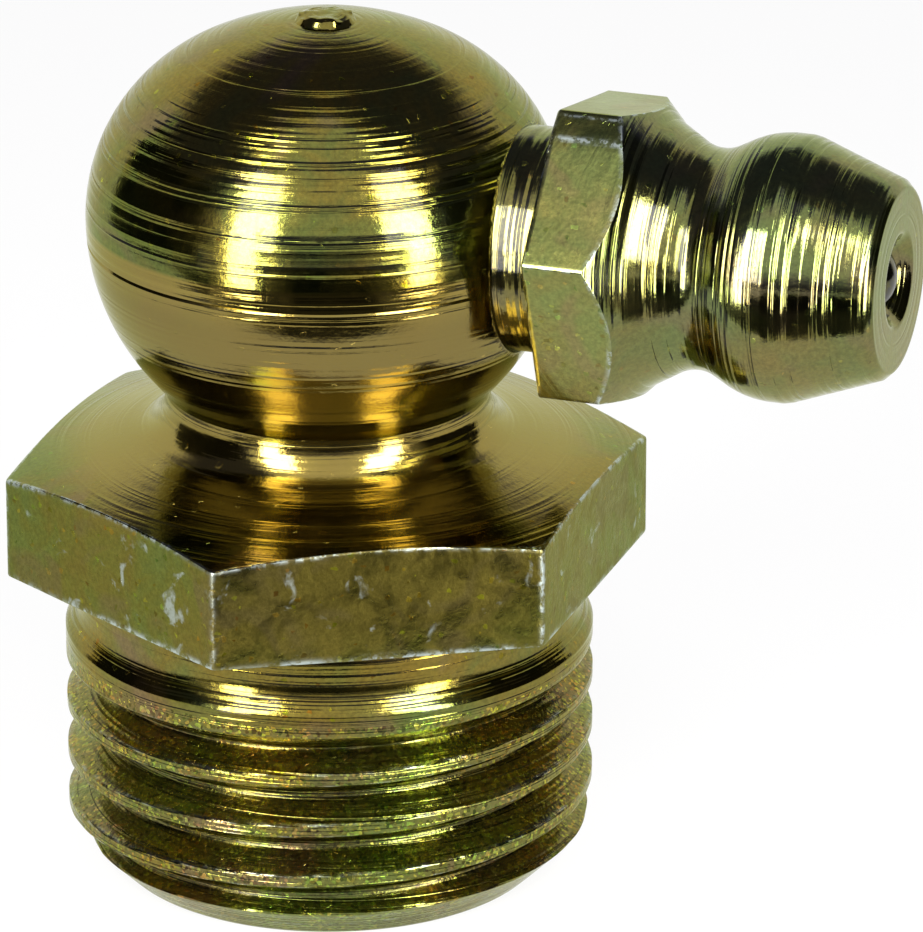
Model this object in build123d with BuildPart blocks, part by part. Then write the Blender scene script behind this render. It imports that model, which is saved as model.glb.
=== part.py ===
"""Elbow grease nipple: hexagon base with a parallel pipe thread, turned ball and side insert."""

import os

from build123d import *
from math import atan, cos, radians, sin, sqrt, tan

os.makedirs("parts", exist_ok=True)

# The frame is in millimetres. Z runs up the axis of the thread, z = 0 is the
# underside of the hexagon, which seats on the lubricated part, and the side
# insert points along +X.

# --- Elbow body: threaded shank --------------------------------------------
thread_major_diameter = 13.157
shank_length = 7.9
shank_end_chamfer = 1.2
outlet_bore_diameter = 4.2

# --- Elbow body: hexagon, neck and ball --------------------------------------
base_across_flats = 14.0
base_corner_height = 2.53
base_cone_angle = 15.0
neck_diameter = 8.0
neck_length = 0.9
ball_diameter = 11.8
ball_undercut_angle = 40.0
ball_shoulder_radius = 4.75
ball_crown_angle = 64.0
parting_nib_diameter = 1.5
parting_nib_height = 0.2
parting_nib_taper = 12.0

# --- Cross bore, where the insert is pressed in ----------------------------
insert_shank_diameter = 5.5
press_clearance = 0.0
insert_press_depth = 3.6
cross_bore_run_out = 3.6
drill_point_angle = 118.0
cutting_margin = 2.0

# --- Insert: lengths along its axis, from the ball outwards ------------------
insert_stand_off = 0.45
insert_hexagon_length = 1.5
taper_length = 2.0
head_land_length = 0.95
head_cone_length = 2.4

# --- Insert: shank, hexagon and coupling head ---------------------------------
insert_across_flats = 7.0
insert_hexagon_clocking = 49.5
hexagon_chamfer_angle = 45.0
hexagon_overcut = 0.5
taper_start_diameter = 6.5
waist_root_diameter = 5.06
waist_rise_angle = 28.0
waist_blend_reach = 0.66
head_diameter = 6.5
head_cone_angle = 20.0
head_shoulder_fillet = 2.2
rise_share = 0.48
tip_chamfer = 0.18
rear_chamfer = 0.4

# --- Check valve inside the insert --------------------------------------------
inlet_diameter = 1.4
inlet_land = 0.25
inlet_edge_chamfer = 0.08
seat_half_angle = 30.0
valve_bore_diameter = 2.4
valve_ball_diameter = 2.0
valve_seat_clearance = 0.02
crimp_lip_thickness = 0.35
crimp_opening_diameter = 1.2

# --- Spring behind the ball -----------------------------------------------------
spring_wire_diameter = 0.22
spring_bore_clearance = 0.14
spring_end_clearance = 0.03
spring_closed_turns = 1
spring_active_turns = 4
spring_closed_gap = 0.03

# --- Derived sizes -----------------------------------------------------------------
thread_radius = thread_major_diameter / 2
base_corner_radius = base_across_flats / sqrt(3)
blank_radius = base_corner_radius + cutting_margin
base_cone_slope = tan(radians(base_cone_angle))
neck_radius = neck_diameter / 2
neck_foot = base_corner_height + (base_corner_radius - neck_radius) * base_cone_slope
neck_top = neck_foot + neck_length
ball_radius = ball_diameter / 2
undercut_turn = radians(ball_undercut_angle)
undercut_radius = ball_radius * cos(undercut_turn)
undercut_height = neck_top + (undercut_radius - neck_radius) / tan(undercut_turn)
ball_height = undercut_height + ball_radius * sin(undercut_turn)
crown_turn = radians(ball_crown_angle)
shoulder_offset = ball_radius - ball_shoulder_radius
crown_radius = ball_shoulder_radius + shoulder_offset / cos(crown_turn)
crown_height = ball_height - shoulder_offset * tan(crown_turn)
ball_top_height = crown_height + crown_radius
nib_seat_depth = crown_radius - sqrt(crown_radius**2 - (parting_nib_diameter / 2) ** 2)
drill_point_slope = tan(radians(drill_point_angle / 2))

# Stations are distances along X from the axis of the thread.
insert_rear_station = ball_radius - insert_press_depth
cross_bore_station = insert_rear_station - cross_bore_run_out
insert_hexagon_station = ball_radius + insert_stand_off
insert_corner_station = insert_hexagon_station + insert_hexagon_length
waist_station = insert_corner_station + taper_length
head_rise = (head_diameter - waist_root_diameter) / 2 / tan(radians(waist_rise_angle))
head_shoulder_station = waist_station + head_rise
head_land_station = head_shoulder_station + head_land_length
insert_tip_station = head_land_station + head_cone_length
insert_length = insert_tip_station - insert_rear_station
insert_corner_radius = insert_across_flats / sqrt(3)
valve_bore_radius = valve_bore_diameter / 2
inlet_radius = inlet_diameter / 2
seat_mouth_station = insert_tip_station - inlet_land
seat_apex_station = seat_mouth_station + inlet_radius / tan(radians(seat_half_angle))
seat_foot_station = seat_apex_station - valve_bore_radius / tan(radians(seat_half_angle))
valve_ball_radius = valve_ball_diameter / 2
valve_ball_station = seat_apex_station - (valve_ball_radius + valve_seat_clearance) / sin(
    radians(seat_half_angle)
)

spring_wire_radius = spring_wire_diameter / 2
spring_mean_radius = valve_bore_radius - spring_bore_clearance - spring_wire_radius
spring_reach = valve_ball_radius + spring_end_clearance + spring_wire_radius
spring_front_station = valve_ball_station - sqrt(spring_reach**2 - spring_mean_radius**2)
crimp_inner_station = insert_rear_station + crimp_lip_thickness
spring_rear_station = crimp_inner_station + spring_end_clearance + spring_wire_radius

insert_plane = Plane(origin=(0, 0, ball_height), x_dir=(1, 0, 0), z_dir=(0, -1, 0))
insert_axis = Axis((0, 0, ball_height), (1, 0, 0))


# --- Elbow body ----------------------------------------------------------------------
# A hexagon bar is turned to the cone, neck and ball, so each flat of the hexagon ends
# in the curved edge that the cone leaves on it. The whole neck is one hollow curve. The
# ball is a true sphere below its widest line. Above it a tighter shoulder runs into a
# flatter crown.
with BuildPart() as elbow_body:
    with BuildSketch(Plane.XY):
        RegularPolygon(base_across_flats / 2, 6, major_radius=False, rotation=30)
    extrude(amount=ball_top_height + cutting_margin)

    blank_top = base_corner_height - cutting_margin * base_cone_slope
    cone_angle = radians(base_cone_angle)
    cone_end = (neck_radius + neck_length * cos(cone_angle), neck_foot - neck_length * sin(cone_angle))
    with BuildSketch(Plane.XZ):
        with BuildLine():
            Polyline(
                (0, ball_top_height),
                (0, 0),
                (blank_radius, 0),
                (blank_radius, blank_top),
                cone_end,
            )
            Bezier(cone_end, (neck_radius, neck_foot), (neck_radius, neck_top))
            Line((neck_radius, neck_top), (undercut_radius, undercut_height))
            CenterArc((0, ball_height), ball_radius, -ball_undercut_angle, ball_undercut_angle)
            CenterArc((shoulder_offset, ball_height), ball_shoulder_radius, 0, ball_crown_angle)
            CenterArc((0, crown_height), crown_radius, ball_crown_angle, 90 - ball_crown_angle)
        make_face()
    revolve(axis=Axis.Z, mode=Mode.INTERSECT)

    # The nib that the parting tool leaves on the crown of the ball.
    with BuildSketch(Plane.XY.offset(ball_top_height - nib_seat_depth)):
        Circle(parting_nib_diameter / 2)
    extrude(amount=nib_seat_depth + parting_nib_height, taper=parting_nib_taper)

    # The shank, at the crest diameter of its thread.
    with BuildSketch(Plane.XY):
        Circle(thread_radius)
    extrude(amount=-shank_length)
    chamfer(elbow_body.faces().sort_by(Axis.Z)[0].edges(), shank_end_chamfer)

    # The grease passage up the shank.
    outlet_radius = outlet_bore_diameter / 2
    with BuildSketch(Plane.XZ):
        with BuildLine():
            Polyline(
                (0, -shank_length),
                (outlet_radius, -shank_length),
                (outlet_radius, ball_height),
                (0, ball_height + outlet_radius / drill_point_slope),
                close=True,
            )
        make_face()
    revolve(axis=Axis.Z, mode=Mode.SUBTRACT)

    # The cross bore that takes the shank of the insert.
    cross_radius = insert_shank_diameter / 2 + press_clearance
    with BuildSketch(insert_plane):
        with BuildLine():
            Polyline(
                (ball_radius + cutting_margin, 0),
                (ball_radius + cutting_margin, cross_radius),
                (cross_bore_station, cross_radius),
                (cross_bore_station - cross_radius / drill_point_slope, 0),
                close=True,
            )
        make_face()
    revolve(axis=insert_axis, mode=Mode.SUBTRACT)

elbow_body.part.label = "elbow_body"
export_step(elbow_body.part, "parts/elbow_body.step")


# --- Insert ----------------------------------------------------------------------------
# A smaller hexagon bar, turned to a plain shank, a tapered waist and the conical
# coupling head, then bored from the rear for the check valve.
with BuildPart() as nipple_insert:
    with BuildSketch(Plane.YZ.offset(insert_rear_station)):
        with Locations((0, ball_height)):
            RegularPolygon(
                insert_across_flats / 2,
                6,
                major_radius=False,
                rotation=insert_hexagon_clocking,
            )
    extrude(amount=insert_length)

    shank_radius = insert_shank_diameter / 2
    taper_radius = taper_start_diameter / 2
    waist_root_radius = waist_root_diameter / 2
    head_radius = head_diameter / 2
    bar_radius = insert_corner_radius + hexagon_overcut
    chamfer_slope = tan(radians(hexagon_chamfer_angle))
    chamfer_start = insert_corner_station - hexagon_overcut / chamfer_slope
    taper_start = insert_corner_station + (insert_corner_radius - taper_radius) / chamfer_slope
    tip_radius = head_radius - head_cone_length * tan(radians(head_cone_angle))
    tip_edge_radius = tip_radius + tip_chamfer * tan(radians(head_cone_angle))

    # The blend at the root of the waist and the fillet at the back of the head share the
    # wall that rises between them.
    rise = radians(waist_rise_angle)
    fall = atan((taper_radius - waist_root_radius) / (waist_station - taper_start))
    rise_wall = (head_radius - waist_root_radius) / sin(rise)
    fall_wall = (taper_radius - waist_root_radius) / sin(fall)
    waist_blend = min(waist_blend_reach, rise_share * rise_wall, rise_share * fall_wall)
    shoulder_fillet = min(head_shoulder_fillet, rise_share * rise_wall / tan(rise / 2))
    fall_end = (waist_station - waist_blend * cos(fall), waist_root_radius + waist_blend * sin(fall))
    rise_start = (waist_station + waist_blend * cos(rise), waist_root_radius + waist_blend * sin(rise))
    with BuildSketch(insert_plane) as insert_profile:
        with BuildLine():
            Polyline(
                (insert_rear_station, 0),
                (insert_rear_station, shank_radius - rear_chamfer),
                (insert_rear_station + rear_chamfer, shank_radius),
                (insert_hexagon_station, shank_radius),
                (insert_hexagon_station, bar_radius),
                (chamfer_start, bar_radius),
                (taper_start, taper_radius),
                fall_end,
            )
            Bezier(fall_end, (waist_station, waist_root_radius), rise_start)
            Polyline(
                rise_start,
                (head_shoulder_station, head_radius),
                (head_land_station, head_radius),
                (insert_tip_station - tip_chamfer, tip_edge_radius),
                (insert_tip_station, tip_edge_radius - tip_chamfer),
                (insert_tip_station, 0),
                (insert_rear_station, 0),
            )
        make_face()
        shoulder = insert_profile.vertices().sort_by_distance((head_shoulder_station, head_radius))[0]
        fillet(shoulder, shoulder_fillet)
    revolve(axis=insert_axis, mode=Mode.INTERSECT)

    # The valve bore: crimped lip at the rear, ball seat and inlet at the tip.
    crimp_radius = crimp_opening_diameter / 2
    with BuildSketch(insert_plane):
        with BuildLine():
            Polyline(
                (insert_rear_station, 0),
                (insert_rear_station, crimp_radius),
                (crimp_inner_station, crimp_radius),
                (crimp_inner_station, valve_bore_radius),
                (seat_foot_station, valve_bore_radius),
                (seat_mouth_station, inlet_radius),
                (insert_tip_station - inlet_edge_chamfer, inlet_radius),
                (insert_tip_station, inlet_radius + inlet_edge_chamfer),
                (insert_tip_station, 0),
                close=True,
            )
        make_face()
    revolve(axis=insert_axis, mode=Mode.SUBTRACT)

nipple_insert.part.label = "nipple_insert"
export_step(nipple_insert.part, "parts/nipple_insert.step")


# --- Check valve ball --------------------------------------------------------------------
with BuildPart(Plane.XY.move(Location((valve_ball_station, 0, ball_height)))) as valve_ball:
    Sphere(valve_ball_radius)

valve_ball.part.label = "valve_ball"
export_step(valve_ball.part, "parts/valve_ball.step")


# --- Check valve spring --------------------------------------------------------------------
# A compression spring with a closed turn at each end. The front turn bears on the back
# of the ball, inside its outline, and the rear turn on the crimped lip. The wire has six
# sides, which keeps so small a coil light.
closed_pitch = spring_wire_diameter + spring_closed_gap
closed_height = closed_pitch * spring_closed_turns
active_height = spring_front_station - spring_rear_station - 2 * closed_height
with BuildPart() as valve_spring:
    station = spring_rear_station
    for pitch, height in (
        (closed_pitch, closed_height),
        (active_height / spring_active_turns, active_height),
        (closed_pitch, closed_height),
    ):
        with BuildLine() as coil:
            Helix(
                pitch,
                height,
                spring_mean_radius,
                center=(station, 0, ball_height),
                direction=(1, 0, 0),
            )
        coil_start = coil.line @ 0
        outwards = coil_start - Vector(station, 0, ball_height)
        with BuildSketch(Plane(origin=coil_start, x_dir=outwards, z_dir=coil.line % 0)):
            RegularPolygon(spring_wire_radius, 6)
        sweep(path=coil.line, is_frenet=True)
        station += height

valve_spring.part.label = "valve_spring"
export_step(valve_spring.part, "parts/valve_spring.step")
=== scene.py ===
"""Elbow grease nipple: turned and plated body, side insert, check valve and stage."""

import math
from functools import partialmethod

import bmesh
import bpy
import numpy as np
from bpy.props import FloatProperty, FloatVectorProperty, PointerProperty
from mathutils import Matrix, Vector, noise


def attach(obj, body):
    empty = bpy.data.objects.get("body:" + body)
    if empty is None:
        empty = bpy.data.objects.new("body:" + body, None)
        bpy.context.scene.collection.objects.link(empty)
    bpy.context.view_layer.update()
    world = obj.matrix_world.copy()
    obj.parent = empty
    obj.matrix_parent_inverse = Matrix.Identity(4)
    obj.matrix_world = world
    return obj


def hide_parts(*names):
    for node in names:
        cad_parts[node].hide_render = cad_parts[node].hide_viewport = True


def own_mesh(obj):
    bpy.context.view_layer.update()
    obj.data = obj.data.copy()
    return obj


bl_info = {
    "name": "Elbow grease nipple",
    "version": (1, 0, 0),
    "blender": (4, 5, 0),
    "location": "3D View > Sidebar > Nipple",
    "description": "Builds a plated elbow grease nipple with its check valve on a pale floor",
    "category": "Add Mesh",
}

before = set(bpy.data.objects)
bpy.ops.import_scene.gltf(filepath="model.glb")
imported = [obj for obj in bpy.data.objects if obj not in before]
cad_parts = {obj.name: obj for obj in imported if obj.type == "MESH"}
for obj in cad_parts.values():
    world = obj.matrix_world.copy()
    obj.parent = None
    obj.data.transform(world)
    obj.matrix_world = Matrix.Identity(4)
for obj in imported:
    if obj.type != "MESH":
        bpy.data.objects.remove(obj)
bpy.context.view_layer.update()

# Lengths are metres in Blender, and millimetres where a number carries MM.
MM = 0.001
SECTOR = math.tau / 6
CORNER_CROWDING = 0.8
CORNER_SHARPNESS = 180
# Points nearer than WELD are merged, and points within TOUCH of a face count as on it.
WELD = 0.0005 * MM
TOUCH = 0.001 * MM


# --- Sizes and colours ---


def length(name, description, millimetres):
    """A length that a user may change, shown in the scene's unit."""
    return FloatProperty(
        name=name,
        description=description,
        default=millimetres * MM,
        min=0.0,
        precision=5,
        unit="LENGTH",
    )


def angle(name, description, degrees):
    """An angle that a user may change."""
    return FloatProperty(
        name=name, description=description, default=math.radians(degrees), subtype="ANGLE"
    )


def colour(name, description, rgb):
    """A linear colour that a user may change."""
    return FloatVectorProperty(
        name=name,
        description=description,
        default=rgb,
        size=3,
        min=0.0,
        max=1.0,
        subtype="COLOR",
    )


class BodySizes(bpy.types.PropertyGroup):
    """Sizes of the threaded and turned body."""

    thread_diameter: length("Thread diameter", "Over the crests of the pipe thread", 13.157)
    thread_pitch: length("Thread pitch", "From one crest to the next", 1.337)
    thread_depth: length("Thread depth", "From crest to root", 0.856)
    collar: length("Plain collar", "Plain length under the hexagon", 1.95)
    run_out: length("Thread run-out", "Length in which the thread fades into the collar", 0.95)
    relief: length("Relief depth", "Of the turned groove under the hexagon", 0.28)
    relief_foot: length("Relief foot", "Where the groove runs out into the collar", 1.65)
    shank: length("Shank length", "From the underside of the hexagon", 7.9)
    shank_chamfer: length("Shank chamfer", "At the end of the thread", 1.2)
    outlet: length("Outlet bore", "Diameter of the grease passage", 4.2)
    across_flats: length("Across flats", "Of the hexagon", 14.0)
    corner_height: length("Corner height", "Of the hexagon at its corners", 2.53)
    cone_angle: angle("Cone angle", "Slope of the turned top of the hexagon", 15.0)
    neck: length("Neck diameter", "Between hexagon and ball", 8.0)
    neck_length: length("Neck length", "From the cone to the ball", 0.9)
    neck_fillet: length("Neck fillet", "Radius at the foot of the neck", 1.05)
    ball: length("Ball diameter", "At its widest line", 11.8)
    undercut: angle("Undercut angle", "From the widest line down to the neck", 40.0)
    shoulder: length("Shoulder radius", "Of the ball above its widest line", 4.75)
    crown: angle("Crown angle", "At which the shoulder runs into the flatter crown", 64.0)
    nib: length("Nib diameter", "Left by the parting tool on the crown", 1.5)
    nib_height: length("Nib height", "Above the crown", 0.2)


class InsertSizes(bpy.types.PropertyGroup):
    """Sizes of the pressed-in insert, its bore and its coupling head."""

    shank: length("Shank diameter", "In the cross bore of the ball", 5.5)
    depth: length("Press depth", "Of the shank behind the ball's widest line", 3.6)
    stand_off: length("Stand-off", "From the ball to the hexagon", 0.45)
    across_flats: length("Across flats", "Of the small hexagon", 7.0)
    hexagon: length("Hexagon length", "Along the insert", 1.5)
    taper: length("Taper length", "From the hexagon to the waist", 2.0)
    taper_start: length("Taper diameter", "Where the taper leaves the hexagon", 6.5)
    waist: length("Waist diameter", "At its root, before the fillet", 5.06)
    rise: angle("Rise angle", "From the waist up to the head", 28.0)
    waist_fillet: length("Waist fillet", "Radius at the root of the waist", 1.1)
    head: length("Head diameter", "Of the coupling head", 6.5)
    shoulder_fillet: length("Shoulder fillet", "Radius at the back of the head", 2.2)
    land: length("Head land", "Cylindrical length of the head", 0.95)
    cone: length("Head cone", "Length of the cone in front of the land", 2.4)
    cone_angle: angle("Head cone angle", "Half angle of the cone", 20.0)
    inlet: length("Inlet diameter", "At the tip", 1.4)
    bore: length("Valve bore", "Diameter round ball and spring", 2.4)
    crimp: length("Crimp opening", "At the rear, behind the spring", 1.2)
    valve_ball: length("Valve ball", "Diameter", 2.0)
    wire: length("Spring wire", "Diameter", 0.22)


class FinishColours(bpy.types.PropertyGroup):
    """Colours of the passivated plating, as base colours of bare metal."""

    olive: colour("Olive", "Main colour of the plating", (0.150, 0.138, 0.028))
    gold: colour("Gold", "Where the film is thin", (0.200, 0.138, 0.020))
    green: colour("Green", "Where the film is thicker", (0.122, 0.158, 0.036))
    rose: colour("Rose", "Where the film is thickest", (0.178, 0.118, 0.058))
    # Painted sheen: a brighter gold base round the neck and the cone, standing in for brighter
    # reflected streaks there.
    painted_sheen: colour("Painted sheen", "Brighter gold round the neck and cone", (0.270, 0.200, 0.048))
    # Darker thread roots, and painted shade on the ball below its widest line.
    dark_roots_and_shade: colour("Dark roots and painted shade", "Darker thread roots, and painted shade under the ball", (0.060, 0.050, 0.026))
    # Partly painted highlight: the pale lines along the hexagon corners stand in for edge glints as
    # well as wear.
    bare: colour("Bare zinc and painted edge glint", "Where edges are rubbed", (0.42, 0.48, 0.46))
    steel: colour("Steel", "Of the spring", (0.56, 0.57, 0.58))
    # Painted shade: the valve ball's steel is darkened to stand in for the shade deep in the inlet.
    painted_shade_ball: colour("Darkened ball steel", "Of the valve ball", (0.075, 0.075, 0.070))
    floor: colour("Floor", "Of the floor", (0.15, 0.15, 0.15))


# --- Lathe work ---


class Profile:
    """Half of a turned section, drawn outwards along X and up Z, and then spun round Z."""

    def __init__(self, radius, height):
        self.bm = bmesh.new()
        self.last = self.bm.verts.new((radius, 0, height))

    def lines(self, *stations):
        """Draws straight runs to new points, each as radius, height and number of rows."""
        for radius, height, rows in stations:
            start = self.last.co.copy()
            for row in range(1, rows + 1):
                self.last = bmesh.ops.extrude_vert_indiv(self.bm, verts=[self.last])["verts"][0]
                self.last.co = start.lerp(Vector((radius, 0, height)), row / rows)

    def arc(self, centre, turn, rows):
        """Draws an arc round a centre, turning towards +Z from +X by that angle."""
        made = bmesh.ops.spin(
            self.bm,
            geom=[self.last],
            cent=(centre[0], 0, centre[1]),
            axis=(0, -1, 0),
            angle=turn,
            steps=rows,
            use_merge=False,
        )
        self.last = [item for item in made["geom_last"] if isinstance(item, bmesh.types.BMVert)][0]

    def rounded_corner(self, before, corner, after, radius, run_rows, arc_rows):
        """Draws a straight run towards a corner and the arc that rounds it."""
        back = (Vector(before) - Vector(corner)).normalized()
        on = (Vector(after) - Vector(corner)).normalized()
        half = back.angle(on) / 2
        start = Vector(corner) + back * (radius / math.tan(half))
        centre = Vector(corner) + (back + on).normalized() * (radius / math.sin(half))
        turn = math.pi - 2 * half
        self.lines((start.x, start.y, run_rows))
        self.arc(centre, turn if back.x * on.y < back.y * on.x else -turn, arc_rows)

    def note_stations(self):
        """Writes on each point how far it lies along the profile, in millimetres."""
        layer = self.bm.verts.layers.float.new("along")
        self.bm.verts.ensure_lookup_table()
        walked = 0.0
        for before, after in zip(self.bm.verts[:-1], self.bm.verts[1:]):
            walked += (after.co - before.co).length / MM
            after[layer] = walked

    def spin(self, segments, closed=False):
        """Spins the profile into a solid, welded at its seam and poles, with faces outwards."""
        bm = self.bm
        if closed:
            bm.edges.new((bm.verts[-1], bm.verts[0]))
        bmesh.ops.spin(
            bm,
            geom=bm.verts[:] + bm.edges[:],
            cent=(0, 0, 0),
            axis=(0, 0, 1),
            angle=math.tau,
            steps=segments,
            use_merge=True,
        )
        bmesh.ops.remove_doubles(bm, verts=bm.verts[:], dist=WELD)
        bmesh.ops.recalc_face_normals(bm, faces=bm.faces[:])
        return bm


def mesh_from(bm, name):
    """Makes a bmesh a mesh and frees it."""
    mesh = bpy.data.meshes.new(name)
    bm.to_mesh(mesh)
    bm.free()
    return mesh


def add_object(name, data):
    """An object in the scene for a mesh, a lamp or a camera."""
    thing = bpy.data.objects.new(name, data)
    bpy.context.scene.collection.objects.link(thing)
    return thing


def finished_piece(bm, name, body, materials, sharp=34.0):
    """Makes the mesh an object at the origin that rides on a body of the frame."""
    mesh = mesh_from(bm, name)
    mesh.shade_smooth()
    mesh.set_sharp_from_angle(angle=math.radians(sharp))
    for material in materials:
        mesh.materials.append(material)
    piece = add_object(name, mesh)
    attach(piece, body)
    return piece


def places(bm):
    """The points of a bmesh as an array."""
    return np.array([v.co for v in bm.verts], float)


def move_places(bm, places_now):
    """Puts the points of a bmesh where the array says."""
    for vert, place in zip(bm.verts, places_now):
        vert.co = place


def polar(co):
    """Radius and angle of each point round the lathe's axis."""
    return np.hypot(co[:, 0], co[:, 1]), np.arctan2(co[:, 1], co[:, 0])


def from_polar(radius, turned, height):
    """Points from their radius, angle and height."""
    return np.column_stack([radius * np.cos(turned), radius * np.sin(turned), height])


def write_layer(bm, name, values):
    """Keeps one number per point as an attribute that the materials read."""
    layer = bm.verts.layers.float.new(name)
    for vert, value in zip(bm.verts, values):
        vert[layer] = value


def keep_rings_round(bm, before, after, slant):
    """Moves the noted stations with the points, so that tool rings stay circles on a cone."""
    layer = bm.verts.layers.float["along"]
    inwards = polar(before)[0] - polar(after)[0]
    for vert, shift in zip(bm.verts, inwards / math.cos(slant) / MM):
        vert[layer] += shift


def crowd_corners(co, first_corner):
    """Turns the segments of a lathed solid so that they crowd at the hexagon's corners."""
    radius, turned = polar(co)
    whole, part = np.divmod(turned / SECTOR + 1e-6, 1.0)
    part = part - CORNER_CROWDING * np.sin(math.tau * part) / math.tau
    return from_polar(radius, first_corner + (whole + part) * SECTOR, co[:, 2])


def corner_distance(turned, first_corner, radius):
    """How far points on a circle lie from the nearest corner of a hexagon."""
    share = np.abs(((turned - first_corner) / SECTOR + 0.5) % 1.0 - 0.5)
    return share * SECTOR * radius


def polygon_reach(turned, planes):
    """How far out a polygon with softened corners lies. Planes are angle and distance."""
    nearest = min(distance for facing, distance in planes)
    total = np.zeros_like(turned)
    for facing, distance in planes:
        towards = np.clip(np.cos(turned - facing), 0, None)
        total += (towards * nearest / distance) ** CORNER_SHARPNESS
    return nearest * total ** (-1 / CORNER_SHARPNESS)


def smooth_step(value, low, high):
    """0 below low, 1 above high and an even curve between."""
    share = np.clip((value - low) / (high - low), 0, 1)
    return share * share * (3 - 2 * share)


def wear(away, width):
    """1 on an edge, fading over a width to both sides."""
    return np.exp(-((away / width) ** 2))


# --- Materials ---

SOCKET_KINDS = {"Vector": "NodeSocketVector"}
SOCKET_KINDS |= dict.fromkeys(("Color", "Olive", "Gold", "Green", "Rose"), "NodeSocketColor")


class Nodes:
    """Adds nodes to one tree and links them in one line each."""

    def __init__(self, tree):
        self.tree = tree

    def fill(self, node, **inputs):
        """Links or sets inputs by name, with _ for a space, or by i and a number."""
        for key, value in inputs.items():
            numbered = key[0] == "i" and key[1:].isdigit()
            socket = node.inputs[int(key[1:]) if numbered else key.replace("_", " ")]
            if isinstance(value, bpy.types.NodeSocket):
                self.tree.links.new(value, socket)
            else:
                socket.default_value = value

    def add(self, kind, settings=None, **inputs):
        """A node with its settings and inputs."""
        made = self.tree.nodes.new(kind)
        for key, value in (settings or {}).items():
            setattr(made, key, value)
        self.fill(made, **inputs)
        return made

    def math(self, operation, a, b=0.0, clamp=False):
        """One sum on numbers."""
        settings = {"operation": operation, "use_clamp": clamp}
        return self.add("ShaderNodeMath", settings, i0=a, i1=b).outputs[0]

    plus = partialmethod(math, "ADD")
    minus = partialmethod(math, "SUBTRACT")
    times = partialmethod(math, "MULTIPLY")

    def dot(self, a, b):
        """How far a vector reaches along another."""
        settings = {"operation": "DOT_PRODUCT"}
        return self.add("ShaderNodeVectorMath", settings, i0=a, i1=b).outputs["Value"]

    def mix(self, share, a, b):
        """A mix of two colours."""
        settings = {"data_type": "RGBA", "clamp_factor": True}
        return self.add("ShaderNodeMix", settings, i0=share, i6=a, i7=b).outputs[2]

    def shifted(self, base, **changes):
        """A colour with its hue, saturation or value changed."""
        return self.add("ShaderNodeHueSaturation", {}, Color=base, **changes).outputs[0]

    def range(self, value, low, high, to_low=0.0, to_high=1.0):
        """A number moved from one range to another, smoothly and clamped."""
        settings = {"interpolation_type": "SMOOTHSTEP"}
        ends = {"i1": low, "i2": high, "i3": to_low, "i4": to_high}
        return self.add("ShaderNodeMapRange", settings, i0=value, **ends).outputs[0]

    def noise(self, vector, scale, detail=2.0, roughness=0.5, distortion=0.0):
        """Soft noise on a vector, as a number."""
        looks = {"Detail": detail, "Roughness": roughness, "Distortion": distortion}
        made = self.add("ShaderNodeTexNoise", {}, Vector=vector, Scale=scale, **looks)
        return made.outputs["Fac"]

    def noise_along(self, place, scale, detail, roughness=0.5):
        """Soft noise along one number."""
        looks = {"Scale": scale, "Detail": detail, "Roughness": roughness}
        made = self.add("ShaderNodeTexNoise", {"noise_dimensions": "1D"}, W=place, **looks)
        return made.outputs["Fac"]

    def attribute(self, name):
        """A number kept on the points of the mesh."""
        return self.add("ShaderNodeAttribute", {"attribute_name": name}).outputs["Fac"]

    def effect(self, name, maker, **inputs):
        """The outputs of a shared group, which is made when it is first used."""
        tree = bpy.data.node_groups.get(name) or maker(name)
        return self.add("ShaderNodeGroup", {"node_tree": tree}, **inputs).outputs

    def bump(self, height, depth, **normal):
        """A bumped normal, with its depth in millimetres, on top of another if one is given."""
        made = self.add("ShaderNodeBump", {}, Height=height, Distance=depth * MM, **normal)
        made.inputs["Strength"].default_value = 1.0
        return made.outputs[0]


def effect_group(name, inputs, outputs):
    """An empty group with named sockets: its node helper, its inputs and its output node."""
    group = bpy.data.node_groups.new(name, "ShaderNodeTree")
    for side, labels in (("INPUT", inputs), ("OUTPUT", outputs)):
        for label in labels.split():
            kind = SOCKET_KINDS.get(label, "NodeSocketFloat")
            group.interface.new_socket(label, in_out=side, socket_type=kind)
    given = group.nodes.new("NodeGroupInput").outputs
    return Nodes(group), given, group.nodes.new("NodeGroupOutput")


def rgba(rgb):
    """A colour with full alpha."""
    return (*rgb, 1.0)


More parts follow.
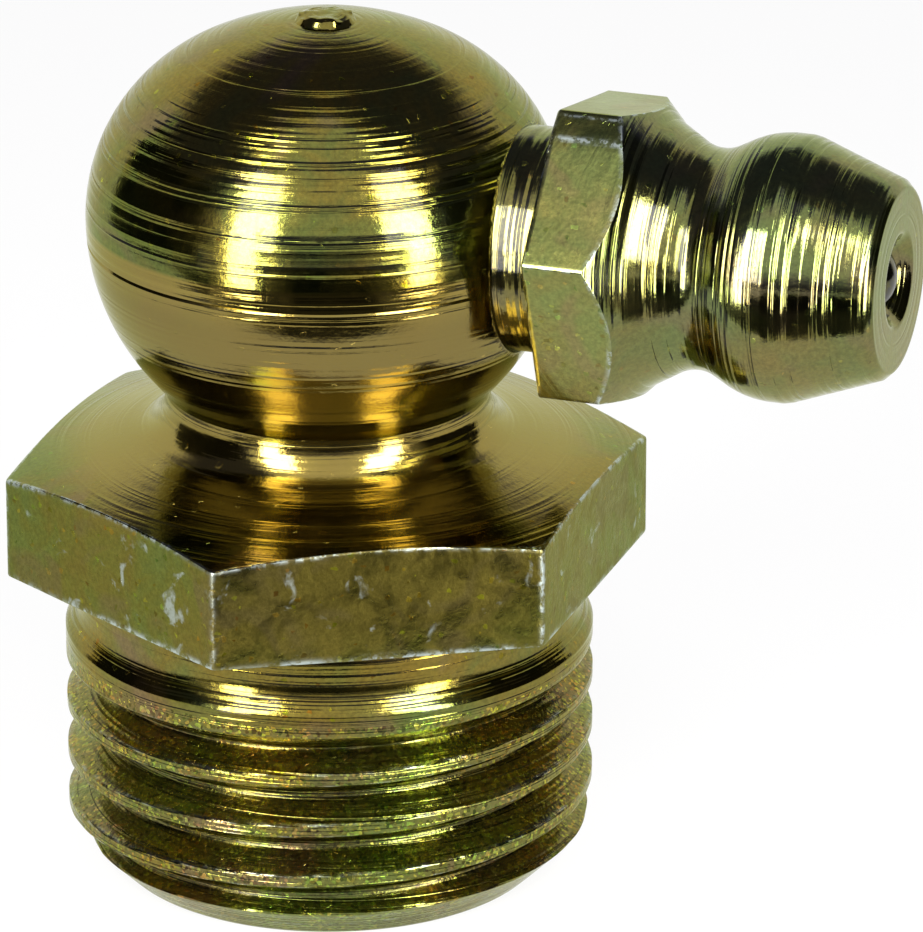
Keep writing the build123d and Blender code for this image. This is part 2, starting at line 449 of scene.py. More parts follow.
def tool_marks_group(name):
    """Grooves left by the turning tool: narrow, uneven in spacing and depth, along the profile."""
    inputs = "Along Vector Feed Width Chatter Amount"
    n, given, out = effect_group(name, inputs, "Height Grooves")
    vector, amount = given["Vector"], given["Amount"]
    along = n.math("DIVIDE", given["Along"], given["Feed"])
    drift = n.times(n.noise_along(along, 0.6, 1.0), 1.8)
    wobble = n.times(n.noise(vector, 0.35, 1.0), 0.35)
    turns = n.plus(along, n.plus(drift, wobble))
    patches = n.noise(vector, 1.3, 2.0, 0.6)
    swell = n.range(n.noise_along(along, 0.45, 0.0), 0.3, 0.65, 0.45, 1.25)
    swell = n.times(swell, n.range(patches, 0.3, 0.7, 0.7, 1.2))
    wave = n.times(n.math("SINE", n.times(turns, math.tau)), 0.6)
    ripple = n.times(n.minus(n.noise_along(turns, 2.3, 1.0, 0.6), 0.5), 2.2)
    rolling = n.times(n.plus(wave, ripple), swell)
    scratch = n.times(n.minus(n.noise_along(along, 7.0, 2.0, 0.65), 0.5), given["Chatter"])
    rolling = n.times(n.plus(rolling, scratch), amount)
    # One turn in a few is cut deeper, by lot.
    lottery = n.add("ShaderNodeTexWhiteNoise", {"noise_dimensions": "1D"}, W=n.math("FLOOR", turns))
    away = n.math("ABSOLUTE", n.minus(n.math("FRACT", turns), 0.5))
    cut = n.range(away, 0.0, given["Width"], 1.0, 0.0)
    cut = n.times(cut, n.range(lottery.outputs["Value"], 0.70, 0.97))
    cut = n.times(cut, n.range(patches, 0.36, 0.56, 0.1, 1.1))
    cut = n.times(cut, amount)
    n.fill(out, Height=n.minus(rolling, cut), Grooves=cut)
    return n.tree


def plating_group(name):
    """The passivation film: soft drifts and small clouds of olive, gold, green and rose."""
    inputs = "Vector Drift Cloud Olive Gold Green Rose"
    n, given, out = effect_group(name, inputs, "Color Haze")
    vector = given["Vector"]
    drift = n.noise(vector, given["Drift"], 2.0, 0.5, 0.4)
    cloud = n.noise(vector, given["Cloud"], 3.0, 0.6, 0.8)
    grain = n.noise(vector, 9.0, 3.0, 0.7)
    mixed = n.plus(n.times(drift, 0.65), n.times(cloud, 0.35))
    film = n.mix(n.range(mixed, 0.44, 0.60), given["Olive"], given["Gold"])
    film = n.mix(n.range(mixed, 0.50, 0.36), film, given["Green"])
    rose = n.noise(vector, n.times(given["Cloud"], 0.6), 2.0, 0.55, 1.2)
    film = n.mix(n.range(rose, 0.52, 0.70, 0.0, 0.75), film, given["Rose"])
    film = n.shifted(film, Value=n.range(grain, 0.25, 0.75, 0.8, 1.2))
    n.fill(out, Color=film, Haze=n.range(cloud, 0.3, 0.7))
    return n.tree


def worn_group(name):
    """Where edges are rubbed and flats scuffed to bare zinc, broken up by small noise. Along the
    corners the pale lines are partly wear and partly painted highlight.
    """
    n, given, out = effect_group(name, "Vector Edge Amount Scuffs", "Mask")
    vector = given["Vector"]
    chips = n.noise(vector, 3.5, 3.0, 0.7)
    broad = n.noise(vector, 0.7, 1.0)
    raised = n.times(given["Edge"], n.range(chips, 0.42, 0.58, 0.10, 1.2))
    raised = n.times(raised, n.range(broad, 0.35, 0.6, 0.35, 1.2))
    raised = n.times(raised, given["Amount"])
    spots = n.noise(vector, 1.15, 4.0, 0.55, 0.6)
    scuffed = n.times(n.range(spots, 0.615, 0.70), n.range(chips, 0.35, 0.6, 0.25, 1.0))
    scuffed = n.times(scuffed, given["Scuffs"])
    n.fill(out, Mask=n.plus(raised, scuffed, True))
    return n.tree


def specks_group(name):
    """Small facets and grains of other film colours, as on a rolled or cut rough surface."""
    n, given, out = effect_group(name, "Vector Scale Share", "Mask Random Height")
    cells = n.add("ShaderNodeTexVoronoi", {}, Vector=given["Vector"], Scale=given["Scale"])
    lots = n.add("ShaderNodeSeparateColor", {}, Color=cells.outputs["Color"])
    lot, tone, height = lots.outputs
    n.fill(out, Mask=n.math("LESS_THAN", lot, given["Share"]), Random=tone, Height=height)
    return n.tree


def node_helper(owner):
    """Clears the nodes of a material or a world and returns a helper for them."""
    owner.use_nodes = True
    owner.node_tree.nodes.clear()
    return Nodes(owner.node_tree)


def new_material(name):
    """A material with its node helper, its shader and the object's coordinates in millimetres."""
    material = bpy.data.materials.new(name)
    n = node_helper(material)
    shader = n.add("ShaderNodeBsdfPrincipled")
    n.add("ShaderNodeOutputMaterial", {}, Surface=shader.outputs[0])
    coords = n.add("ShaderNodeTexCoord").outputs["Object"]
    scaled = n.add("ShaderNodeVectorMath", {"operation": "SCALE"}, i0=coords, Scale=1 / MM)
    return material, n, shader, scaled.outputs[0]


def plated_metal(name, colours, look):
    """Zinc plated and passivated metal. Look holds feed, depths, roughness and tints."""
    material, n, shader, vector = new_material(name)
    tints = {
        tint.title(): rgba(look.get(tint, getattr(colours, tint)))
        for tint in ("olive", "gold", "green", "rose")
    }
    drift, cloud = look["drift"], look["cloud"]
    film = n.effect(
        "Passivation", plating_group, Vector=vector, Drift=drift, Cloud=cloud, **tints
    )
    marks = n.effect(
        "Tool marks",
        tool_marks_group,
        Along=n.attribute("along"),
        Vector=vector,
        Feed=look["feed"],
        Width=look["groove_width"],
        Chatter=look["chatter"],
        Amount=n.attribute("marks"),
    )
    rubbed = n.effect(
        "Rubbed edges and painted glints",
        worn_group,
        Vector=vector,
        Edge=n.attribute("edge"),
        Amount=look["rub"],
        Scuffs=look["scuffs"],
    )["Mask"]
    specks = n.effect(
        "Film specks",
        specks_group,
        Vector=vector,
        Scale=look["speck_scale"],
        Share=look["speck_share"],
    )
    speck = n.shifted(
        film["Color"],
        Saturation=1.1,
        Value=n.range(specks["Random"], 0.0, 1.0, *look["speck_value"]),
        Hue=n.range(specks["Height"], 0.0, 1.0, 0.46, 0.54),
    )
    base = n.mix(specks["Mask"], film["Color"], speck)
    base = n.mix(marks["Grooves"], base, n.shifted(base, Value=1.0 - look["groove_shade"]))
    # Painted sheen on the neck and cone.
    base = n.mix(n.attribute("painted_sheen"), base, rgba(colours.painted_sheen))
    # Darker thread roots, and painted shade on the ball's underside.
    base = n.mix(n.times(n.attribute("dark_roots_and_shade"), 0.45), base, rgba(colours.dark_roots_and_shade))
    # Bare zinc on rubbed edges and scuffs; along the corners partly painted highlight.
    base = n.mix(rubbed, base, rgba(colours.bare))
    rough = n.range(film["Haze"], 0.0, 1.0, *look["rough"])
    normal = n.bump(marks["Height"], look["ring_depth"])
    pits = n.noise(vector, look["pit_scale"], 3.0, 0.65)
    normal = n.bump(pits, look["pit_depth"], Normal=normal)
    facets = n.times(specks["Height"], specks["Mask"])
    normal = n.bump(facets, look["speck_depth"], Normal=normal)
    n.fill(
        shader,
        Metallic=1.0,
        Specular_Tint=rgba(look["rim_tint"]),
        Coat_Weight=look["coat"],
        Coat_Roughness=0.10,
        Base_Color=base,
        Roughness=n.plus(rough, n.times(rubbed, 0.12), True),
        Normal=normal,
    )
    return material


# Looks of the plating. Feed and depths are in millimetres, and scales count per millimetre.
# A colour given here is used instead of the finish's own.
TURNED = {
    "feed": 0.31,
    "groove_width": 0.20,
    "chatter": 0.12,
    "ring_depth": 0.017,
    "groove_shade": 0.45,
    "drift": 0.14,
    "cloud": 0.55,
    "rub": 0.7,
    "scuffs": 0.0,
    "rough": (0.09, 0.17),
    "rim_tint": (0.80, 0.84, 0.56),
    "coat": 0.20,
    "pit_scale": 7.0,
    "pit_depth": 0.004,
    "speck_scale": 9.0,
    "speck_share": 0.015,
    "speck_value": (0.7, 1.6),
    "speck_depth": 0.004,
}
DRAWN = dict(
    TURNED,
    chatter=0.1,
    ring_depth=0.001,
    groove_shade=0.0,
    cloud=0.8,
    rub=1.0,
    scuffs=0.7,
    rough=(0.24, 0.38),
    pit_scale=3.5,
    pit_depth=0.020,
    speck_share=0.03,
    coat=0.05,
    olive=(0.128, 0.128, 0.022),
    gold=(0.146, 0.118, 0.022),
    green=(0.112, 0.138, 0.030),
    rose=(0.136, 0.108, 0.036),
)
THREADED = dict(
    TURNED,
    feed=0.13,
    ring_depth=0.012,
    rough=(0.10, 0.22),
    speck_scale=12.0,
    speck_share=0.45,
    speck_value=(0.4, 2.2),
    speck_depth=0.03,
    pit_depth=0.02,
    pit_scale=4.0,
    rub=0.45,
    olive=(0.160, 0.145, 0.034),
    gold=(0.205, 0.150, 0.028),
    green=(0.140, 0.168, 0.036),
    rose=(0.165, 0.112, 0.056),
)
COUPLING = dict(
    TURNED,
    coat=0.35,
    olive=(0.140, 0.140, 0.040),
    gold=(0.172, 0.140, 0.040),
    green=(0.122, 0.155, 0.048),
    rose=(0.168, 0.126, 0.064),
)
SMALL_HEXAGON = dict(
    DRAWN,
    coat=0.15,
    pit_depth=0.004,
    scuffs=0.0,
    rough=(0.18, 0.25),
    olive=(0.190, 0.200, 0.058),
    gold=(0.205, 0.182, 0.052),
    green=(0.174, 0.212, 0.062),
    rose=(0.206, 0.172, 0.066),
)

# Film and marks are noises: scale, detail, roughness and distortion.
LAPPED = {
    "film": (2.2, 2.0, 0.6, 1.0),
    "share": (0.35, 0.7, 0.0, 0.6),
    "rough": (0.08, 0.2),
    "marks": (14.0, 3.0, 0.7),
}
WIRE_DRAWN = {
    "film": (3.0, 3.0, 0.6),
    "share": (0.35, 0.65, 0.1, 0.6),
    "rough": (0.22, 0.38),
    "marks": (30.0, 2.0),
}
SCRATCH_DEPTH = 0.002


def bare_steel(name, base, film_colour, look):
    """Steel under an uneven film of plating, with faint marks. The valve ball's steel is given
    darkened, as painted shade.
    """
    material, n, shader, vector = new_material(name)
    film = n.noise(vector, *look["film"])
    n.fill(
        shader,
        Metallic=1.0,
        Base_Color=n.mix(n.range(film, *look["share"]), rgba(base), rgba(film_colour)),
        Roughness=n.range(film, 0.3, 0.7, *look["rough"]),
        Normal=n.bump(n.noise(vector, *look["marks"]), SCRATCH_DEPTH),
    )
    return material


def floor_finish(name, colours):
    """Pale matt floor, which a camera or a mirror sees lifted to white under the same shadows."""
    material = bpy.data.materials.new(name)
    n = node_helper(material)
    grain = n.noise(n.add("ShaderNodeTexCoord").outputs["Object"], 40.0, 2.0)
    tone = n.mix(grain, rgba([c * 0.985 for c in colours.floor]), rgba(colours.floor))
    matt = n.add("ShaderNodeBsdfDiffuse", {}, Color=tone)
    path = n.add("ShaderNodeLightPath").outputs
    seen = n.plus(path["Is Camera Ray"], path["Is Glossy Ray"])
    seen = n.plus(seen, path["Is Transmission Ray"], True)
    strength = n.times(seen, FLOOR_LIFT)
    lift = n.add("ShaderNodeEmission", {}, Color=(1, 1, 1, 1), Strength=strength)
    both = n.add("ShaderNodeAddShader", {}, i0=matt.outputs[0], i1=lift.outputs[0])
    n.add("ShaderNodeOutputMaterial", {}, Surface=both.outputs[0])
    return material


def black_card(name):
    """Matt black flock."""
    material, n, shader, vector = new_material(name)
    nap = n.mix(n.noise(vector, 0.5, 2.0), (0.012, 0.012, 0.011, 1), (0.02, 0.02, 0.018, 1))
    n.fill(shader, Base_Color=nap, Roughness=1.0, Specular_IOR_Level=0.0)
    return material


# --- Body ---

BODY_SEGMENTS = 240
THREAD_ROWS = 120
DRILL_SEGMENTS = 144
DRILL_SLANT = math.radians(59)
BODY_TURN = math.radians(30)
THREAD_PHASE = math.radians(-160.8)
LEFT_CREST = -3.66 * MM
CREST_LOSS = 0.06 * MM
BODY_RIM = 0.06 * MM
BORE_CHAMFER = 0.25 * MM
SCORE_DROP = 0.5 * MM
SCORE_DEPTH = 0.035 * MM
SCORE_WIDTH = 0.09 * MM
NIB_FILLET = 0.25 * MM
NIB_DIP = 0.03 * MM
CORNER_WEAR = 0.065 * MM
FOOT_WEAR = 0.10 * MM
CREST_WEAR = 0.045 * MM
# Radii within which the neck and cone get painted sheen.
SHEEN_START, SHEEN_FULL = 7.4 * MM, 5.6 * MM
CROSS_BORE_ROOM = 3.6 * MM
FLARE_WIDTH = 0.5 * MM
FLARE_DEPTH = 0.10 * MM
FLARE_RISE = 0.40 * MM
DRILL_CLEAR = 3.0 * MM


class BodyPlan:
    """Heights and radii of the body that follow from its sizes."""

    def __init__(self, s):
        self.corner_radius = s.across_flats / math.sqrt(3)
        self.slope = math.tan(s.cone_angle)
        self.neck_radius = s.neck / 2
        self.cone_top = s.corner_height + (self.corner_radius - self.neck_radius) * self.slope
        self.neck_top = self.cone_top + s.neck_length
        self.ball_radius = s.ball / 2
        under = self.ball_radius * math.cos(s.undercut)
        under_height = self.neck_top + (under - self.neck_radius) / math.tan(s.undercut)
        self.under = (under, under_height)
        self.ball_height = under_height + self.ball_radius * math.sin(s.undercut)
        self.offset = self.ball_radius - s.shoulder
        self.crown_radius = s.shoulder + self.offset / math.cos(s.crown)
        self.crown_height = self.ball_height - self.offset * math.tan(s.crown)
        self.top = self.crown_height + self.crown_radius

    def cone(self, radius):
        """Height of the turned cone at a radius."""
        return self.cone_top - (radius - self.neck_radius) * self.slope

    def under_ball(self, radius, drop):
        """A point round the ball's middle, at an angle below its widest line."""
        return radius * math.cos(drop), self.ball_height - radius * math.sin(drop)


def whitworth(phase, pitch, depth):
    """Depth below the crest of a rounded 55 degree thread, for a share of a pitch."""
    away = np.abs((phase + 0.5) % 1.0 - 0.5) * pitch
    rounding = 0.137329 * pitch
    flank = math.radians(27.5)
    edge = rounding * math.cos(flank)
    slope = 1 / math.tan(flank)
    drop = rounding * (1 - math.sin(flank))
    crest = rounding - np.sqrt(np.clip(rounding**2 - np.minimum(away, edge) ** 2, 0, None))
    side = drop + (away - edge) * slope
    back = pitch / 2 - away
    root = depth - rounding + np.sqrt(np.clip(rounding**2 - np.minimum(back, edge) ** 2, 0, None))
    full = np.where(away < edge, crest, np.where(back < edge, root, side))
    return np.clip(full - CREST_LOSS, 0, None)


def cut_thread(co, s):
    """Cuts the right-hand thread by moving points inwards, and says where its crests are rubbed."""
    radius, turned = polar(co)
    crest = s.thread_diameter / 2
    outside = (co[:, 2] < -TOUCH) & (radius > crest - s.shank_chamfer - TOUCH)
    phase = (co[:, 2] - LEFT_CREST) / s.thread_pitch - (turned - THREAD_PHASE) / math.tau
    depth = whitworth(phase, s.thread_pitch, s.thread_depth)
    fade = smooth_step(-co[:, 2], s.collar, s.collar + s.run_out)
    wanted = np.where(outside, np.minimum(radius, crest - depth * fade), radius)
    rubbed = wear(depth - 0.02 * MM, CREST_WEAR) * (depth > 0)
    moved = co.copy()
    moved[:, :2] *= (wanted / np.maximum(radius, TOUCH))[:, None]
    return moved, np.where(outside, 0.7 * rubbed * fade, 0)


def square_hexagon(co, s, plan, start):
    """Pulls the round blank between start and the corners onto the flats and the cone."""
    radius, turned = polar(co)
    planes = [(k * SECTOR, s.across_flats / 2) for k in range(6)]
    reach = polygon_reach(turned, planes)
    height = co[:, 2]
    outside = (radius > start) & (height > -TOUCH) & (height < plan.cone_top + 0.01 * MM)
    share = np.clip((radius - start) / (plan.corner_radius - start), 0, None)
    wanted = np.where(outside, start + share * (reach - start), radius)
    lift = np.where(outside, height * plan.cone(wanted) / plan.cone(radius), height)
    away = corner_distance(turned, BODY_TURN, plan.corner_radius)
    wall = outside & (radius > plan.corner_radius - 0.11 * MM)
    # Pale lines on the corners and rims: partly wear, partly painted highlight.
    rims = wear(plan.cone(wanted) - lift, CORNER_WEAR) + wear(lift, FOOT_WEAR)
    rubbed = np.maximum(wear(away, CORNER_WEAR), np.clip(rims, 0, 1))
    return from_polar(wanted, turned, lift), np.where(wall, rubbed, 0)


def body_blank(s, plan):
    """The turned blank of the body, from the point of its drilled outlet round to the nib."""
    bore = s.outlet / 2
    crest = s.thread_diameter / 2
    foot = crest - s.shank_chamfer
    groove = crest - s.relief
    bottom = -s.shank
    edge = plan.corner_radius
    rim = BODY_RIM
    wall_top = plan.cone(edge) - rim
    blank = Profile(0, plan.ball_height + bore / math.tan(DRILL_SLANT))
    blank.lines(
        (bore, plan.ball_height, 2),
        (bore, bottom + BORE_CHAMFER, 6),
        (bore + BORE_CHAMFER, bottom, 2),
        (foot - 0.05 * MM, bottom, 12),
        (foot, bottom + 0.03 * MM, 2),
        (crest, bottom + s.shank_chamfer, 24),
        (crest, -s.collar + 0.1 * MM, THREAD_ROWS),
        (crest, -s.relief_foot, 2),
        (groove, -s.relief_foot + 1.5 * s.relief, 4),
        (groove, -0.15 * MM, 4),
        (groove + 0.15 * MM, 0, 2),
        (crest + 0.05 * MM, 0, 1),
        (edge - rim, 0, 8),
        (edge - 0.3 * rim, 0.3 * rim, 1),
        (edge, rim, 1),
        (edge, 0.2 * MM, 4),
        (edge, wall_top - 0.15 * MM, 10),
        (edge, wall_top, 4),
        (edge - 0.25 * rim, plan.cone(edge - 0.25 * rim) - 0.25 * rim, 1),
        (edge - rim, plan.cone(edge - rim), 1),
        (edge - 0.3 * MM, plan.cone(edge - 0.3 * MM), 5),
    )
    neck_foot = (plan.neck_radius, plan.cone_top)
    neck_top = (plan.neck_radius, plan.neck_top)
    blank.rounded_corner((edge, plan.cone(edge)), neck_foot, neck_top, s.neck_fillet, 16, 14)
    blank.lines((*neck_top, 3), (*plan.under, 12))

    middle = (0, plan.ball_height)
    score = math.asin(SCORE_DROP / plan.ball_radius)
    half = SCORE_WIDTH / 2 / plan.ball_radius
    blank.arc(middle, s.undercut - score - half, 38)
    blank.lines(
        (*plan.under_ball(plan.ball_radius - SCORE_DEPTH, score), 1),
        (*plan.under_ball(plan.ball_radius, score - half), 1),
    )
    blank.arc(middle, score - half, 6)
    blank.arc((plan.offset, plan.ball_height), s.crown, 54)

    nib = s.nib / 2
    nib_foot = nib + NIB_FILLET
    nib_top = plan.top + s.nib_height - NIB_DIP
    crown = plan.top - nib_foot**2 / (2 * plan.crown_radius)
    blank.arc((0, plan.crown_height), math.acos(nib_foot / plan.crown_radius) - s.crown, 18)
    blank.lines(
        (nib, crown + 0.03 * MM, 4),
        (nib - 0.10 * MM, plan.top + 0.6 * s.nib_height, 5),
        (nib - 0.26 * MM, nib_top, 5),
        (0, nib_top, 12),
    )
    blank.note_stations()
    return blank


def tear_nib(co, s, plan):
    """Tears the nib: a ragged rim and pits where the parting tool broke through."""
    moved = co.copy()
    floor = plan.top - 0.06 * MM
    for i in np.nonzero((co[:, 2] > floor) & (polar(co)[0] < s.nib / 2 + 0.1 * MM))[0]:
        place = Vector(co[i]) / MM
        rough = noise.noise(place * 2.6 + Vector((3.1, 1.7, 0.4)))
        fine = noise.noise(place * 4.5 + Vector((0.4, 5.2, 2.2)))
        rise = min(1.0, max(0.0, (co[i][2] - floor) / (0.1 * MM)))
        moved[i][2] += rise * MM * (0.05 * rough + 0.02 * fine - 0.02)
        moved[i][:2] *= 1 + rise * (0.02 * fine + 0.03 * rough)
    moved[:, 2] = np.minimum(moved[:, 2], plan.top + s.nib_height - 0.004 * MM)
    return moved


def lay_along_insert(bm, plan):
    """Turns a solid that was lathed round Z so that it lies along the insert's axis."""
    turn = Matrix(((0, 0, 1, 0), (-1, 0, 0, 0), (0, -1, 0, 0), (0, 0, 0, 1)))
    place = Matrix.Translation((0, 0, plan.ball_height)) @ turn
    bmesh.ops.transform(bm, matrix=place, verts=bm.verts[:])


def bore_cutter(s, insert):
    """The drill that makes the cross bore, with the deburring flare at its mouth."""
    plan = BodyPlan(s)
    radius = insert.shank / 2
    mouth = math.sqrt(plan.ball_radius**2 - radius**2)
    deep = plan.ball_radius - insert.depth - CROSS_BORE_ROOM
    flare = radius + FLARE_WIDTH
    drill = Profile(0, deep - radius / math.tan(DRILL_SLANT))
    drill.lines(
        (radius, deep, 1),
        (radius, mouth - FLARE_DEPTH, 1),
        (flare, mouth + FLARE_RISE, 1),
        (flare, mouth + DRILL_CLEAR, 1),
        (0, mouth + DRILL_CLEAR, 1),
    )
    bm = drill.spin(DRILL_SEGMENTS)
    lay_along_insert(bm, plan)
    return add_object("cross_drill", mesh_from(bm, "cross_drill"))


def apply_modifiers(piece):
    """Makes a piece's modifiers part of its mesh, and welds what they left too small."""
    depsgraph = bpy.context.evaluated_depsgraph_get()
    mesh = bpy.data.meshes.new_from_object(piece.evaluated_get(depsgraph))
    bm = bmesh.new()
    bm.from_mesh(mesh)
    bmesh.ops.remove_doubles(bm, verts=bm.verts[:], dist=WELD)
    bmesh.ops.dissolve_degenerate(bm, edges=bm.edges[:], dist=0.0002 * MM)
    bm.to_mesh(mesh)
    bm.free()
    piece.modifiers.clear()
    piece.data = mesh


def write_body_wear(bm, co, s, plan):
    """Writes where the neck and cone get painted sheen, where the thread roots are darker, where
    the ball's underside gets painted shade and how deep the tool marks are.
    """
    radius, height = polar(co)[0], co[:, 2]
    ball = plan.ball_height
    neck = (height > s.corner_height) & (height < ball)
    # Painted sheen, full inside SHEEN_FULL and gone outside SHEEN_START.
    painted_sheen = 0.9 * smooth_step(-radius, -SHEEN_START, -SHEEN_FULL)
    write_layer(bm, "painted_sheen", np.where(neck, painted_sheen, 0))
    # Darker towards the thread roots.
    root = np.clip((s.thread_diameter / 2 - radius) / s.thread_depth, 0, 1)
    # Painted shade: the ball below its widest line is darkened for the shadowed floor it reflects.
    under = 0.75 * smooth_step(-height, -ball + 0.2 * MM, -ball + 1.2 * MM)
    dark_roots_and_shade = np.where(height < -s.collar, root, np.where(height > plan.neck_top, under, 0))
    write_layer(bm, "dark_roots_and_shade", dark_roots_and_shade)
    # Heights, and how deep the tool marks are there.
    marks = (
        (-s.shank, 1.0),
        (0, 0.5),
        (0, 0.22),
        (plan.neck_top, 0.3),
        (ball + 0.3 * MM, 0.3),
        (ball + 0.8 * MM, 0.95),
        (ball + 3.8 * MM, 0.95),
        (ball + 4.3 * MM, 0.4),
        (plan.top, 0.2),
    )
    write_layer(bm, "marks", np.interp(height, *zip(*marks)))


class NIPPLE_OT_body(bpy.types.Operator):
    """Turns the body, cuts its hexagon and thread and drills it"""

    bl_idname = "nipple.body"
    bl_label = "Turned body"

    def execute(self, context):
        s = context.scene.nipple_body
        colours = context.scene.nipple_colours
        plan = BodyPlan(s)
        bm = body_blank(s, plan).spin(BODY_SEGMENTS)
        round_blank, crests = cut_thread(crowd_corners(places(bm), BODY_TURN), s)
        start = s.thread_diameter / 2 + 0.02 * MM
        co, edges = square_hexagon(round_blank, s, plan, start)
        keep_rings_round(bm, round_blank, co, s.cone_angle)
        co = tear_nib(co, s, plan)
        move_places(bm, co)
        write_layer(bm, "edge", np.maximum(edges, crests))
        write_body_wear(bm, co, s, plan)
        for face in bm.faces:
            middle = face.calc_center_median()
            radius = math.hypot(middle.x, middle.y)
            on_flat = radius > s.across_flats / 2 - 0.3 * MM and abs(face.normal.z) < 0.5
            if middle.z < -s.collar and radius > s.outlet / 2 + 0.3 * MM:
                face.material_index = 2
            elif 0 < middle.z < plan.cone_top and on_flat:
                face.material_index = 1
        materials = [
            plated_metal("Turned plating", colours, TURNED),
            plated_metal("Hexagon plating", colours, DRAWN),
            plated_metal("Thread plating", colours, THREADED),
        ]
        piece = finished_piece(bm, "turned_body", "fitting", materials)
        cutter = bore_cutter(s, context.scene.nipple_insert)
        drill = piece.modifiers.new("Cross bore", "BOOLEAN")
        drill.operation = "DIFFERENCE"
        drill.solver = "EXACT"
        drill.object = cutter
        apply_modifiers(piece)
        bpy.data.objects.remove(cutter)
        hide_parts("elbow_body")
        return {"FINISHED"}


# --- Insert ---

INSERT_SEGMENTS = 216
INSERT_TURN = math.radians(-10.5)
CHAMFER_SLANT = math.radians(45)
SEAT_SLANT = math.radians(30)
INSERT_RIM = 0.04 * MM
TIP_RIM = 0.19 * MM
SHANK_CHAMFER = 0.4 * MM
COUNTERSINK = 1.15 * MM
SEAT_DEPTH = 0.25 * MM
CRIMP_LIP = 0.35 * MM
BALL_GAP = 0.02 * MM
FILED_FACING = math.radians(-40.5)
FILED_TILT = math.radians(10)
FILED_START = 1.35 * MM
FILED_EDGE = math.radians(-61.6)


class InsertPlan:
    """Stations of the insert along its axis, from the axis of the thread."""

    def __init__(self, s, body):
        ball = BodyPlan(body).ball_radius
        self.rear = ball - s.depth
        self.hexagon = ball + s.stand_off
        self.corner = self.hexagon + s.hexagon
        self.waist = self.corner + s.taper
        self.shoulder = self.waist + (s.head - s.waist) / 2 / math.tan(s.rise)
        self.land = self.shoulder + s.land
        self.tip = self.land + s.cone
        self.corner_radius = s.across_flats / math.sqrt(3)
        self.taper = self.corner + self.corner_radius - s.taper_start / 2
        self.tip_radius = s.head / 2 - s.cone * math.tan(s.cone_angle)
        self.seat_mouth = self.tip - SEAT_DEPTH
        self.seat_apex = self.seat_mouth + s.inlet / 2 / math.tan(SEAT_SLANT)
        self.seat_foot = self.seat_apex - s.bore / 2 / math.tan(SEAT_SLANT)
        self.ball = self.seat_apex - (s.valve_ball / 2 + BALL_GAP) / math.sin(SEAT_SLANT)
        self.crimp = self.rear + CRIMP_LIP


def insert_blank(s, plan):
    """The turned blank of the insert, round its outside and back through its bore."""
    shank = s.shank / 2
    bar = plan.corner_radius
    rim = INSERT_RIM
    blank = Profile(s.crimp / 2, plan.rear)
    blank.lines(
        (shank - SHANK_CHAMFER, plan.rear, 4),
        (shank, plan.rear + SHANK_CHAMFER, 3),
        (shank, plan.hexagon, 20),
        (bar - rim, plan.hexagon, 10),
        (bar, plan.hexagon + rim, 2),
        (bar, plan.corner - rim, 22),
        (bar - 0.3 * rim, plan.corner, 1),
        (s.taper_start / 2, plan.taper, 14),
    )
    taper = (s.taper_start / 2, plan.taper)
    waist = (s.waist / 2, plan.waist)
    shoulder = (s.head / 2, plan.shoulder)
    land = (s.head / 2, plan.land)
    blank.rounded_corner(taper, waist, shoulder, s.waist_fillet, 14, 14)
    blank.rounded_corner(waist, shoulder, land, s.shoulder_fillet, 8, 18)
    slant = math.tan(s.cone_angle)
    tip = plan.tip_radius + 0.18 * MM * slant
    # A 45 degree countersink runs straight into the seat.
    slope = s.inlet / 2 / (plan.seat_apex - plan.seat_mouth)
    sunk = (COUNTERSINK - (plan.seat_apex - plan.tip) * slope) / (1 + slope)
    blank.lines(
        (s.head / 2, plan.land - 0.08 * MM, 6),
        (s.head / 2 - 0.10 * MM * slant, plan.land + 0.10 * MM, 3),
        (tip + 0.03 * MM * slant, plan.tip - 0.21 * MM, 30),
        (tip, plan.tip - 0.18 * MM, 1),
        (tip - 0.16 * MM, plan.tip - 0.02 * MM, 2),
        (tip - TIP_RIM, plan.tip, 1),
        (COUNTERSINK + 0.03 * MM, plan.tip, 14),
        (COUNTERSINK - 0.03 * MM, plan.tip - 0.03 * MM, 2),
        (COUNTERSINK - sunk, plan.tip - sunk, 5),
        (s.bore / 2, plan.seat_foot, 5),
        (s.bore / 2, plan.crimp, 12),
        (s.crimp / 2, plan.crimp, 3),
    )
    blank.note_stations()
    return blank


